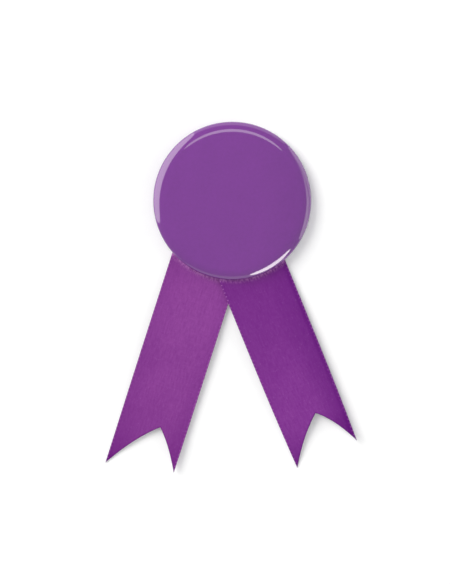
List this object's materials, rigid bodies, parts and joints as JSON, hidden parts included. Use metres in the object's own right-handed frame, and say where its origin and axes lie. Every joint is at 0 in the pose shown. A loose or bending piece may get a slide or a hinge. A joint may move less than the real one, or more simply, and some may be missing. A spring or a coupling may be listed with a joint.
{
  "type": "ribbon pin badge",
  "caption": "Round domed button badge with a glossy film face, a safety pin on its tin back and swallowtail satin ribbons that spread from under its lower edge.",
  "frame": {"origin": "middle of the whole badge's box, on the surface that it lies on", "axes": "+Z out of the button's face, +Y from the ribbons' tips up to the top of the button, +X to the right seen from the front"},
  "size_m": [0.093, 0.129, 0.0069],
  "materials": {
    "face_film": "purple print under clear glossy film",
    "tin": "bright tinplate with a faint rolled grain",
    "pin_steel": "bright nickel plated wire",
    "satin": "purple polyester satin with woven edges"
  },
  "bodies": {
    "root": {"face_film": "face_film", "front_shell": "tin", "back_plate": "tin", "safety_pin": "pin_steel", "ribbon_left": "satin", "ribbon_right": "satin"}
  },
  "joints": []
}
